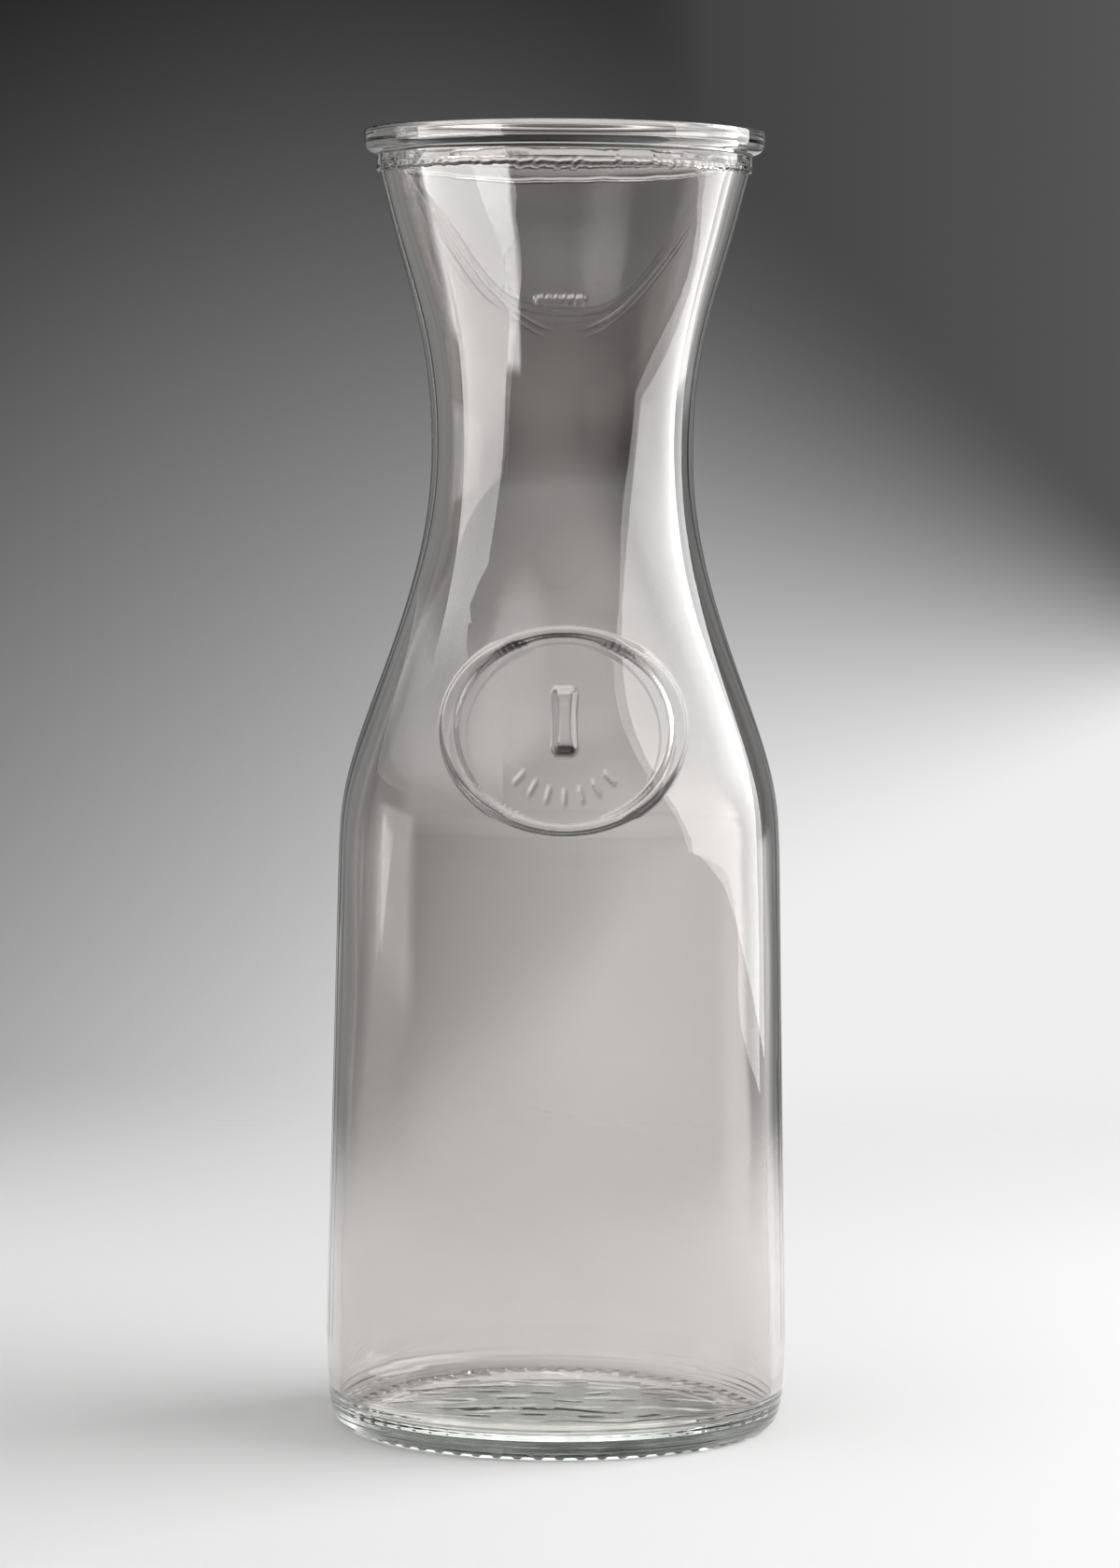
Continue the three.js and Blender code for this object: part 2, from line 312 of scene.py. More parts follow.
underside = bend([
    (0, RIB_HEIGHT + PUSH_UP), (ring_inner / 2, RIB_HEIGHT + PUSH_UP), (ring_inner, RIB_HEIGHT),
], UNDERSIDE_STEPS)
add_ring(MIDDLE_COLUMN, 0.0, RIB_HEIGHT + PUSH_UP)
for radius, height in underside[1:-1]:
    add_ring(plain_columns, radius, height)

ribbed_columns = even_columns(RIB_COUNT * RIB_COLUMNS)
rib_turn = 2 * math.pi / RIB_COUNT
beside_rib = (np.radians(ribbed_columns) + rib_turn / 2) % rib_turn - rib_turn / 2
for radius in np.linspace(ring_inner, ring_outer, RIB_RINGS):
    rib = rounded_bar(
        radius - RING_RADIUS, beside_rib * RING_RADIUS,
        RING_WIDTH / 2, RIB_WIDTH / 2 * RIB_SPREAD, RIB_WIDTH / 2)
    add_ring(ribbed_columns, radius, RIB_HEIGHT * (1 - rib))

heel = bend([
    (ring_outer, RIB_HEIGHT),
    (ring_outer + HEEL_REACH_OUT, RIB_HEIGHT),
    (BODY_RADIUS, BODY_LOWEST - HEEL_REACH_DOWN),
    (BODY_RADIUS, BODY_LOWEST),
], PROFILE_STEPS)
for height in np.concatenate([HEEL_LINED_ROWS, HEEL_PLAIN_ROWS]):
    lines = sum(math.exp(-((height - middle) / HEEL_LINE_HALF_WIDTH) ** 2) for middle in HEEL_LINES)
    radius = np.interp(height, heel[:, 1], heel[:, 0])
    add_ring(plain_columns, radius + HEEL_LINE_RELIEF * lines, height)

# Outside of the wall, from the heel to the lip: the mould's plain side, with the raised work on it. Rows
# are close together only across the medallion, the fill mark and the neck ring, where the shape is fine.
MEDALLION_COLUMNS = columns_with(42.0, 0.5)
MARK_COLUMNS = columns_with(16.0, 0.4)
NECK_RING_COLUMNS = columns_with(80.0, 0.6)
FINE_ROW = 0.0002
FIELD_ROW = 0.0006
RIM_BAND = 0.0034
RIM_MARGIN = 0.0006
RIM_TOP_START = 0.0003
BODY_ROWS = 18
BODY_ROWS_STOP = 0.005
NECK_ROWS = 24
NECK_ROWS_START = 0.004
MARK_CLEAR = 0.0045
MARK_BAND_LOW = 0.0018
MARK_BAND_HIGH = 0.0019
THROAT_ROWS = 9
THROAT_ROWS_STOP = 0.0022
NECK_RING_ROWS = 18
NECK_RING_START = 0.0010

medallion_low = MEDALLION_HEIGHT - MEDALLION_TALL / 2
medallion_high = MEDALLION_HEIGHT + MEDALLION_TALL / 2
rim_low_end = medallion_low + RIM_BAND
rim_high_start = medallion_high - RIM_BAND
wall_rows = [
    (np.linspace(BODY_LOWEST, medallion_low - BODY_ROWS_STOP, BODY_ROWS), plain_columns),
    (np.arange(medallion_low - RIM_MARGIN, rim_low_end, FINE_ROW), MEDALLION_COLUMNS),
    (np.arange(rim_low_end + FINE_ROW, rim_high_start, FIELD_ROW), MEDALLION_COLUMNS),
    (np.arange(rim_high_start + RIM_TOP_START, medallion_high + RIM_MARGIN, FINE_ROW), MEDALLION_COLUMNS),
    (np.linspace(medallion_high + NECK_ROWS_START, MARK_HEIGHT - MARK_CLEAR, NECK_ROWS), plain_columns),
    (np.arange(MARK_HEIGHT - MARK_BAND_LOW, MARK_HEIGHT + MARK_BAND_HIGH, FINE_ROW), MARK_COLUMNS),
    (np.linspace(MARK_HEIGHT + MARK_CLEAR, NECK_RING_HEIGHT - THROAT_ROWS_STOP, THROAT_ROWS), plain_columns),
    (np.linspace(NECK_RING_HEIGHT - NECK_RING_START, throat_height, NECK_RING_ROWS), NECK_RING_COLUMNS),
]
for heights, columns in wall_rows:
    for height in heights:
        radius, lean = on_wall(outside, height)
        across = radius * np.sin(np.radians(columns))
        in_front = np.abs(columns) < SEAM_TURN
        work = medallion(across, height) + numeral(across, height) + ticks(across, height)
        work = work + fill_mark(across, height)
        relief = np.where(in_front, work, 0) + mould_seams(columns) + neck_ring(columns, height)
        slant = math.hypot(1, lean)
        add_ring(columns, radius + relief / slant, height - relief * lean / slant)

# Lip: a heavy bead round the mouth, of the same glass, with a rounded belly under a nearly upright face.
# The mould ring that forms it also holds the jug while it is blown.
LIP_RADIUS = 0.0408
LIP_DRAFT = 0.0001
LIP_EDGE = 0.0007
LIP_ROUND = 0.0008
LIP_FILLET = 0.0007
LIP_UNDERSIDE = 0.0002
LIP_BELLY = 0.0022
FILLET_STEPS = 6
BELLY_STEPS = 12
FLAT_STEPS = 3
EDGE_STEPS = 8

under_lip = HEIGHT - LIP_HEIGHT
band_radius = THROAT_RADIUS + NECK_RING_STEP
belly_radius = LIP_RADIUS - LIP_DRAFT
mouth = inside[-1, 0] + THROAT_LEAN * (HEIGHT - inside[-1, 1])
lip = np.vstack([
    bend([
        (band_radius, under_lip - LIP_FILLET),
        (band_radius, under_lip),
        (band_radius + LIP_FILLET, under_lip + LIP_UNDERSIDE),
    ], FILLET_STEPS),
    bend([
        (band_radius + LIP_FILLET, under_lip + LIP_UNDERSIDE),
        (belly_radius, under_lip + LIP_FILLET),
        (belly_radius, under_lip + LIP_BELLY),
    ], BELLY_STEPS)[1:],
    bend([(belly_radius, under_lip + LIP_BELLY), (LIP_RADIUS, HEIGHT - LIP_EDGE)], FLAT_STEPS)[1:],
    bend([
        (LIP_RADIUS, HEIGHT - LIP_EDGE), (LIP_RADIUS, HEIGHT), (LIP_RADIUS - LIP_EDGE, HEIGHT),
    ], EDGE_STEPS)[1:],
    bend([(LIP_RADIUS - LIP_EDGE, HEIGHT), (mouth + LIP_ROUND, HEIGHT)], FLAT_STEPS)[1:],
    bend([
        (mouth + LIP_ROUND, HEIGHT),
        (mouth, HEIGHT),
        (mouth - THROAT_LEAN * LIP_ROUND, HEIGHT - LIP_ROUND),
    ], EDGE_STEPS)[1:],
])
for radius, height in lip:
    add_ring(plain_columns, radius, height)

# Inside of the wall: only air shaped it, so it waves gently. A thin fold that the cooling glass left
# hangs across the neck like a slack string, lowest at the front, with a fainter one under it. Rows of
# points near the fold follow it, and the rest are level.
WAVE_DEPTH = 0.00008
WAVES = ((1.0, 2, 52, 0), (0.6, 3, -91, 1), (0.4, 5, 143, 2))
WAVES_START = 0.02
WAVES_CALM = 0.25
FOLD_HEIGHT = 0.2240
FOLD_RISE = 9.0e-6
FOLD_OFFSETS = (0.0, -0.0018)
FOLD_RELIEFS = (0.00004, 0.000025)
FOLD_HALF_WIDTH = 0.0003
FOLD_NEAR = 4.0
FOLD_FULL = 4 * FOLD_NEAR
FOLD_FAR = 60.0
FOLD_FADE = 0.7 * FOLD_FAR
FOLD_GONE = 0.9 * FOLD_FAR
FOLD_COLUMNS = columns_with(66.0, 1.25)
FOLD_ROW = 0.00017
FOLD_BAND_HIGH = 0.0012
FOLD_BAND_LOW = 0.0031
FOLD_TOP_CLEAR = 0.0015
FOLD_LOW_CLEAR = 0.0035
FOLD_LOW_ROOM = 0.004
ROWS_OVER_FOLD = 8
ROWS_UNDER_FOLD = 9
SHOULDER_ROWS = 42
SHOULDER_ROWS_START = 0.002
SHOULDER_ROWS_STOP = 0.010
INNER_BODY_ROWS = 15
INNER_BODY_START = 0.014

inside_low = inside[0, 1]
inside_high = inside[-1, 1]
fold_top = inside_high - FOLD_TOP_CLEAR
fold_bottom = FOLD_HEIGHT - FOLD_LOW_CLEAR - FOLD_LOW_ROOM


def fold_line(turn):
    """Height of the fold, which levels off where it fades at the sides of the neck."""
    return FOLD_HEIGHT + FOLD_RISE * np.minimum(np.abs(turn), FOLD_GONE) ** 2


def folds(turn, up):
    total = np.zeros_like(turn)
    aside = np.abs(turn)
    shown = ease(FOLD_NEAR, FOLD_FULL, aside) * (1 - ease(FOLD_FADE, FOLD_GONE, aside))
    for offset, relief in zip(FOLD_OFFSETS, FOLD_RELIEFS):
        total = total + relief * np.exp(-((up - fold_line(turn) - offset) / FOLD_HALF_WIDTH) ** 2)
    return total * shown


fold_heights = fold_line(FOLD_COLUMNS)
inner_rows = [(inside_high, plain_columns)]
for share in np.linspace(0, 1, ROWS_OVER_FOLD)[:-1]:
    inner_rows.append((fold_top + (fold_heights + FOLD_BAND_HIGH - fold_top) * share, FOLD_COLUMNS))
for offset in np.arange(FOLD_BAND_HIGH, -FOLD_BAND_LOW, -FOLD_ROW):
    inner_rows.append((fold_heights + offset, FOLD_COLUMNS))
for share in np.linspace(0, 1, ROWS_UNDER_FOLD)[1:]:
    drop = fold_bottom - fold_heights + FOLD_BAND_LOW
    inner_rows.append((fold_heights - FOLD_BAND_LOW + drop * share, FOLD_COLUMNS))
for height in np.linspace(
        fold_bottom - SHOULDER_ROWS_START, SHOULDER_HEIGHT - SHOULDER_ROWS_STOP, SHOULDER_ROWS):
    inner_rows.append((height, plain_columns))
for height in np.linspace(SHOULDER_HEIGHT - INNER_BODY_START, inside_low, INNER_BODY_ROWS):
    inner_rows.append((height, plain_columns))

for heights, columns in inner_rows:
    heights = heights + 0 * columns
    radius, lean = on_wall(inside, heights)
    angle = np.radians(columns)
    swells = sum(share * np.sin(around * angle + heights * up + start) for share, around, up, start in WAVES)
    low_calm = ease(inside_low, inside_low + WAVES_START, heights)
    high_calm = 1 - ease(WAVES_CALM, inside_high, heights)
    relief = WAVE_DEPTH * swells * (low_calm * high_calm) + folds(columns, heights)
    slant = np.hypot(1, lean)
    add_ring(columns, radius - relief / slant, heights + relief * lean / slant)

# Floor of the jug: thick glass, slightly domed, with a rounded corner. It cooled first, against the
# plate, so it is wrinkled with ropey ridges that run mostly from side to side.
BASE_THICKNESS = 0.0032
FLOOR_CORNER = 0.0048
FLOOR_CORNER_STEPS = 9
FLOOR_DOME_STEPS = 48
FLAT_EDGE = 0.93
WIDE_COLUMNS = even_columns(320)
NARROW_COLUMNS = even_columns(144)
DRIFTS = ((0.0030, 110, 0, 1.3), (0.0022, 245, 77, 0), (0.0012, 410, 410, 0.5))
ROPE_RELIEF = 0.00012
ROPE_HALF_WIDTH = 0.0009
ROPE_LINES = (-0.021, -0.006, 0.016)
ROPE_BREAKS = 95
ROPE_BREAK_SHIFT = 2.1
ROPE_BREAK_EDGES = (-0.5, 0.3)
DASH_RELIEF = 0.00006
DASH_LONG = 0.0060
DASH_WIDE = 0.0026
DASH_ROWS = (-0.030, -0.013, 0.003, 0.011, 0.024)
DASH_GAP = 0.0115
DASH_SHIFT = 0.4
DASH_BOW = 6

floor_height = RIB_HEIGHT + BASE_THICKNESS
floor_radius = inside[0, 0]
dome_radius = floor_radius - FLOOR_CORNER


def wrinkles(x, y):
    """Height of the ridges over the smooth floor."""
    drift = sum(reach * np.sin(x * across + y * along + start) for reach, across, along, start in DRIFTS)
    ropes = np.zeros_like(x)
    for number, middle in enumerate(ROPE_LINES):
        broken = ease(*ROPE_BREAK_EDGES, np.sin(x * ROPE_BREAKS + ROPE_BREAK_SHIFT * number))
        ropes = ropes + broken * np.exp(-((y + drift - middle) / ROPE_HALF_WIDTH) ** 2)
    dashes = np.zeros_like(x)
    for number, middle in enumerate(DASH_ROWS):
        along = (x + DASH_SHIFT * DASH_GAP * number + DASH_GAP / 2) % DASH_GAP - DASH_GAP / 2
        bowed = y - middle + DASH_BOW * along * along + drift / 2
        dashes = dashes + rounded_bar(along, bowed, DASH_LONG / 2, DASH_WIDE / 2, DASH_WIDE / 2)
    return ROPE_RELIEF * ropes + DASH_RELIEF * dashes


floor_corner = bend([
    (floor_radius, floor_height + FLOOR_CORNER), (floor_radius, floor_height), (dome_radius, floor_height),
], FLOOR_CORNER_STEPS)
floor_dome = bend([
    (dome_radius, floor_height), (floor_radius / 2, floor_height + PUSH_UP), (0, floor_height + PUSH_UP),
], FLOOR_DOME_STEPS)
for radius, height in floor_corner:
    add_ring(plain_columns, radius, height)
for radius, height in floor_dome[1:-1]:
    columns = WIDE_COLUMNS if radius > floor_radius / 2 else NARROW_COLUMNS
    angle = np.radians(columns)
    smooth_edge = 1 - ease(FLAT_EDGE, 1, radius / dome_radius)
    ridge = wrinkles(radius * np.sin(angle), -radius * np.cos(angle)) * smooth_edge
    add_ring(columns, radius, height + ridge)
add_ring(MIDDLE_COLUMN, 0.0, floor_height + PUSH_UP)

# Closed skin: the rings are stitched together, with quads where the columns of two neighbours agree and
# triangles elsewhere, so that the jug is one watertight mesh, as it is one piece of glass.
LAST_TURN = 180
NO_TURN = 999


def closed_turns(columns):
    return np.append(columns, LAST_TURN) if len(columns) > 1 else columns


def stitch(first, first_columns, second, second_columns):
    """Faces between two rings, given by their first vertices and columns."""
    first_turns = closed_turns(first_columns)
    second_turns = closed_turns(second_columns)
    made = []
    i = 0
    j = 0
    while i + 1 < len(first_turns) or j + 1 < len(second_turns):
        next_i = first_turns[i + 1] if i + 1 < len(first_turns) else NO_TURN
        next_j = second_turns[j + 1] if j + 1 < len(second_turns) else NO_TURN
        here_i = first + i % len(first_columns)
        here_j = second + j % len(second_columns)
        there_i = first + (i + 1) % len(first_columns)
        there_j = second + (j + 1) % len(second_columns)
        if next_i == next_j:
            made.append((here_i, there_i, there_j, here_j))
        elif next_i < next_j:
            made.append((here_i, there_i, here_j))
        else:
            made.append((here_i, there_j, here_j))
        i += next_i <= next_j
        j += next_j <= next_i
    return made


def stand(name, mesh):
    """An object of this mesh, in the scene."""
    thing = bpy.data.objects.new(name, mesh)
    scene.collection.objects.link(thing)
    return thing


starts = np.cumsum([0] + [len(columns) for columns, points in rings])
faces = []
for number in range(len(rings) - 1):
    faces += stitch(starts[number], rings[number][0], starts[number + 1], rings[number + 1][0])
skin = bpy.data.meshes.new("clear_glass_jug")
skin.from_pydata(np.vstack([points for columns, points in rings]).tolist(), [], faces)
skin.polygons.foreach_set("use_smooth", [True] * len(skin.polygons))
skin.update()
jug = stand("clear_glass_jug", skin)


# Glass: clear with a faint grey-green cast that shows where it is thick. Its skin has the slow ripple of
# blown glass and a trace of haze from handling.
class Value:
    """A socket of a shader's nodes. Arithmetic on it adds Math nodes to the same tree."""

    def __init__(self, tree, socket):
        self.tree = tree
        self.socket = socket

    @classmethod
    def node(cls, tree, kind, settings, inputs, output=0):
        """Adds a node: its type, its settings first, then the values or links of its sockets."""
        made = tree.nodes.new(kind)
        for name, setting in settings.items():
            setattr(made, name, setting)
        for name, given in inputs.items():
            if isinstance(given, Value):
                tree.links.new(given.socket, made.inputs[name])
            else:
                made.inputs[name].default_value = given
        return cls(tree, made.outputs[output]) if made.outputs else None

    def math(self, operation, first, second):
        return self.node(self.tree, "ShaderNodeMath", {"operation": operation}, {0: first, 1: second})

    def __add__(self, other):
        return self.math("ADD", self, other)

    def __radd__(self, other):
        return self.math("ADD", other, self)

    def __sub__(self, other):
        return self.math("SUBTRACT", self, other)

    def __rsub__(self, other):
        return self.math("SUBTRACT", other, self)

    def __mul__(self, other):
        return self.math("MULTIPLY", self, other)

    def __rmul__(self, other):
        return self.math("MULTIPLY", other, self)

    def __pow__(self, other):
        return self.math("POWER", self, other)

    def at_least(self, other):
        return self.math("MAXIMUM", self, other)

    def at_most(self, other):
        return self.math("MINIMUM", self, other)

    def between(self, low_end, high_end):
        """0 below the low end, 1 above the high end, and a smooth rise between them."""
        return self.node(
            self.tree, "ShaderNodeMapRange", {"interpolation_type": "SMOOTHSTEP"},
            {"Value": self, "From Min": low_end, "From Max": high_end})

    def past(self, place, soft):
        """0 well below the place, 1 well above it, with a soft edge of this half-width."""
        return self.between(place - soft, place + soft)

    def within(self, first_edge, last_edge):
        """1 from the first edge to the last and 0 beyond, each edge a place and its half-width."""
        return self.past(*first_edge) * (1 - self.past(*last_edge))

    def mix(self, first, second):
        """The first colour where this is 0, the second where it is 1."""
        return self.node(
            self.tree, "ShaderNodeMix", {"data_type": "RGBA"}, {0: self, 6: first, 7: second}, 2)


def bare_material(name):
    """A material with no nodes yet."""
    material = bpy.data.materials.new(name)
    material.use_nodes = True
    material.node_tree.nodes.clear()
    return material


GLASS_TINT = (0.848, 0.819, 0.807, 1)
GLASS_TINT_DEEP = (0.840, 0.811, 0.799, 1)
GLASS_IOR = 1.52
GLASS_DEPTH_COLOUR = (0.80, 0.90, 0.85, 1)
GLASS_DEPTH_DENSITY = 10.0
CLOUD_SCALE = 28.0
CLOUD_DETAIL = 3.0
CLOUD_TINT_EDGES = (0.35, 0.65)
CLOUD_HAZE_EDGES = (0.5, 0.7)
HAZE_ROUGHNESS = 0.03
RIPPLE_SCALE = 90.0
RIPPLE_DETAIL = 1.0
RIPPLE_STRENGTH = 0.03
RIPPLE_DEPTH = 0.0002

glass = bare_material("clear_glass")
in_glass = glass.node_tree
on_glass = Value.node(in_glass, "ShaderNodeTexCoord", {}, {}, "Object")
cloud = Value.node(in_glass, "ShaderNodeTexNoise", {}, {
    "Vector": on_glass, "Scale": CLOUD_SCALE, "Detail": CLOUD_DETAIL})
ripple = Value.node(in_glass, "ShaderNodeTexNoise", {}, {
    "Vector": on_glass, "Scale": RIPPLE_SCALE, "Detail": RIPPLE_DETAIL})
swell = Value.node(in_glass, "ShaderNodeBump", {}, {
    "Height": ripple, "Strength": RIPPLE_STRENGTH, "Distance": RIPPLE_DEPTH}, "Normal")
surface = Value.node(in_glass, "ShaderNodeBsdfPrincipled", {}, {
    "Base Color": cloud.between(*CLOUD_TINT_EDGES).mix(GLASS_TINT, GLASS_TINT_DEEP),
    "Roughness": cloud.between(*CLOUD_HAZE_EDGES) * HAZE_ROUGHNESS,
    "IOR": GLASS_IOR,
    "Transmission Weight": 1.0,
    "Normal": swell,
})
depth = Value.node(in_glass, "ShaderNodeVolumeAbsorption", {}, {
    "Color": GLASS_DEPTH_COLOUR, "Density": GLASS_DEPTH_DENSITY})
Value.node(in_glass, "ShaderNodeOutputMaterial", {}, {"Surface": surface, "Volume": depth})
skin.materials.append(glass)

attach(jug, "root")
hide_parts("glass_jug")

# Floor: a round of pale matte board, which takes the jug's soft shadow and fades out towards its edge
# into the backdrop's own tone. Under the jug it glows with painted light, in place of the light that the
# glass gathers there. Painted bright lines in the glow show through the jug's floor as highlights on its
# ropes, and a painted dimmer patch towards the right stands in for shade there.
FLOOR_RADIUS = 0.7
FLOOR_SIDES = 96
FLOOR_SOLID = 0.20
FLOOR_GONE = 0.65
FLOOR_COLOUR = (0.82, 0.82, 0.82, 1)
# Painted light under the jug: a glow, a painted dimmer patch on the right, and painted highlight lines.
PAINTED_GLOW_COLOUR = (0.93, 1.0, 0.97, 1)
PAINTED_GLOW_LIGHT = 1.2
PAINTED_SHADE_GLOW = 0.5
PAINTED_SHADE_EDGES = (0.014, 0.030)
PAINTED_GLOW_RADIUS = 0.0430
PAINTED_GLOW_FADE = 0.0012
PAINTED_HIGHLIGHT_GLOW = 2.6
LINE_SCALE = 26.0
LINE_WANDER = 7.0
LINE_DETAIL = 2.0
LINE_DETAIL_SCALE = 1.4
LINE_EDGES = (0.86, 0.97)
LINE_BREAK_SCALE = 120.0
LINE_BREAK_DETAIL = 1.0
LINE_BREAK_EDGES = (0.42, 0.56)


def blend(factor, first, second):
    """The first shader where the factor is 0, the second where it is 1."""
    return factor.node(factor.tree, "ShaderNodeMixShader", {}, {0: factor, 1: first, 2: second})


board = bpy.data.meshes.new("floor")
side_turns = np.radians(even_columns(FLOOR_SIDES))
board_points = [FLOOR_RADIUS * np.cos(side_turns), FLOOR_RADIUS * np.sin(side_turns), 0 * side_turns]
board.from_pydata(np.stack(board_points, 1).tolist(), [], [tuple(range(FLOOR_SIDES))])
floor = stand("floor", board)

matte = bare_material("pale_board")
in_board = matte.node_tree
on_board = Value.node(in_board, "ShaderNodeTexCoord", {}, {}, "Object")
from_jug = Value.node(in_board, "ShaderNodeVectorMath", {"operation": "LENGTH"}, {0: on_board}, "Value")
rightward = Value.node(in_board, "ShaderNodeSeparateXYZ", {}, {0: on_board}, "X")
bands = Value.node(
    in_board, "ShaderNodeTexWave", {"wave_type": "BANDS", "bands_direction": "Y"},
    {"Vector": on_board, "Scale": LINE_SCALE, "Distortion": LINE_WANDER,
     "Detail": LINE_DETAIL, "Detail Scale": LINE_DETAIL_SCALE}, "Fac")
breaks = Value.node(in_board, "ShaderNodeTexNoise", {}, {
    "Vector": on_board, "Scale": LINE_BREAK_SCALE, "Detail": LINE_BREAK_DETAIL})
# Painted highlight lines, which the jug's floor shows as bright ropes.
painted_highlight_line = bands.between(*LINE_EDGES) * breaks.between(*LINE_BREAK_EDGES)

paint = Value.node(in_board, "ShaderNodeBsdfDiffuse", {}, {"Color": FLOOR_COLOUR})
nothing = Value.node(in_board, "ShaderNodeBsdfTransparent", {}, {})
# Emission of the painted glow, the painted shade patch and the painted highlight lines, under the jug only.
painted_glow, painted_shade_glow, painted_highlight = [
    Value.node(in_board, "ShaderNodeEmission", {}, {"Color": PAINTED_GLOW_COLOUR, "Strength": strength})
    for strength in (PAINTED_GLOW_LIGHT, PAINTED_SHADE_GLOW, PAINTED_HIGHLIGHT_GLOW)]
painted_glow_under_jug = blend(painted_highlight_line, blend(rightward.between(*PAINTED_SHADE_EDGES), painted_glow, painted_shade_glow), painted_highlight)
board_with_painted_glow = blend(from_jug.past(PAINTED_GLOW_RADIUS, PAINTED_GLOW_FADE), painted_glow_under_jug, paint)
faded_board = blend(from_jug.between(FLOOR_SOLID, FLOOR_GONE), board_with_painted_glow, nothing)
Value.node(in_board, "ShaderNodeOutputMaterial", {}, {"Surface": faded_board})
board.materials.append(matte)

# Lights: a tall soft box stands on the right, with its near edge leaning back. A small bent card close on
# the left lights the neck, and a level white sheet under it softens its light on the shoulder. All three
# are bent round the jug, and the camera doesn't see them.
BOX_NEAR = 0.75
BOX_CORNERS = ((70, BOX_NEAR, 0.12), (128, BOX_NEAR, 0.004), (128, BOX_NEAR, 0.78), (36, BOX_NEAR, 0.78))
BOX_LOW_LIGHT = 3.3
BOX_HIGH_LIGHT = 5.2
BOX_FADE = (0.10, 0.36)
CARD_NEAR = 0.14
CARD_LOW = 0.178
CARD_HIGH = 0.222
CARD_CORNERS = (
    (-41, CARD_NEAR, CARD_LOW), (-90, CARD_NEAR, CARD_LOW),
    (-90, CARD_NEAR, CARD_HIGH), (-58, CARD_NEAR, CARD_HIGH))
CARD_LIGHT = 5.4
LEVEL_HEIGHT = 0.177
LEVEL_FRONT = -28
LEVEL_REAR = -114
LEVEL_NEAR = 0.042
LEVEL_FAR = 0.24
LEVEL_CORNERS = (
    (LEVEL_FRONT, LEVEL_NEAR, LEVEL_HEIGHT), (LEVEL_REAR, LEVEL_NEAR, LEVEL_HEIGHT),
    (LEVEL_REAR, LEVEL_FAR, LEVEL_HEIGHT), (LEVEL_FRONT, LEVEL_FAR, LEVEL_HEIGHT))
LEVEL_LIGHT = 2.9
LEVEL_DIM_LIGHT = 0.85
LEVEL_CLEAR = (0.044, 0.080)
LEVEL_DIM_OUT = (0.10, 0.21)
LEVEL_DIM_BACK = (78, 108)
SHEET_COLUMNS = 24
SHEET_ROWS = 12


def bent_sheet(name, corners):
    """A sheet bent round the jug, from the turns, distances and heights of its corners."""
    first_front, first_rear, last_rear, last_front = [np.array(corner, float) for corner in corners]
    sheet_points = []
    sheet_faces = []
    for row in np.linspace(0, 1, SHEET_ROWS + 1):
        front = first_front + (last_front - first_front) * row
        rear = first_rear + (last_rear - first_rear) * row
        for column in np.linspace(0, 1, SHEET_COLUMNS + 1):
            sheet_turn, distance, height = front + (rear - front) * column
            angle = math.radians(sheet_turn)
            sheet_points.append((distance * math.sin(angle), -distance * math.cos(angle), height))
    for row in range(SHEET_ROWS):
        for column in range(SHEET_COLUMNS):
            here = row * (SHEET_COLUMNS + 1) + column
            above = here + SHEET_COLUMNS + 1
            sheet_faces.append((here, here + 1, above + 1, above))
    mesh = bpy.data.meshes.new(name)
    mesh.from_pydata(sheet_points, [], sheet_faces)
    material = bare_material(name)
    mesh.materials.append(material)
    sheet = stand(name, mesh)
    sheet.visible_camera = False
    return sheet, material.node_tree


def light_of(tree, strength):
    return Value.node(tree, "ShaderNodeEmission", {}, {"Strength": strength})


box, in_box = bent_sheet("right_soft_box", BOX_CORNERS)
on_box = Value.node(in_box, "ShaderNodeTexCoord", {}, {}, "Object")
box_level = Value.node(in_box, "ShaderNodeSeparateXYZ", {}, {0: on_box}, "Z")
box_light = blend(
    box_level.between(*BOX_FADE), light_of(in_box, BOX_LOW_LIGHT), light_of(in_box, BOX_HIGH_LIGHT))
Value.node(in_box, "ShaderNodeOutputMaterial", {}, {"Surface": box_light})

card, in_card = bent_sheet("left_card", CARD_CORNERS)
Value.node(in_card, "ShaderNodeOutputMaterial", {}, {"Surface": light_of(in_card, CARD_LIGHT)})

level_sheet, in_level = bent_sheet("left_level_sheet", LEVEL_CORNERS)
on_level = Value.node(in_level, "ShaderNodeTexCoord", {}, {}, "Object")
level_x, level_y = [Value.node(in_level, "ShaderNodeSeparateXYZ", {}, {0: on_level}, axis) for axis in "XY"]
level_reach = (level_x * level_x + level_y * level_y) ** 0.5
level_turn = level_x.math("ARCTAN2", 0 - level_x, 0 - level_y) * math.degrees(1)
from_below = Value.node(in_level, "ShaderNodeNewGeometry", {}, {}, "Backfacing")
bright_part = (1 - level_reach.between(*LEVEL_DIM_OUT)) * (1 - level_turn.between(*LEVEL_DIM_BACK))
level_light = blend(bright_part, light_of(in_level, LEVEL_DIM_LIGHT), light_of(in_level, LEVEL_LIGHT))
level_light = blend(
    from_below * level_reach.between(*LEVEL_CLEAR),
    Value.node(in_level, "ShaderNodeBsdfTransparent", {}, {}), level_light)
Value.node(in_level, "ShaderNodeOutputMaterial", {}, {"Surface": level_light})

for mirrored_only in (card, level_sheet):
    mirrored_only.visible_diffuse = False
    mirrored_only.visible_transmission = False
    mirrored_only.visible_shadow = False

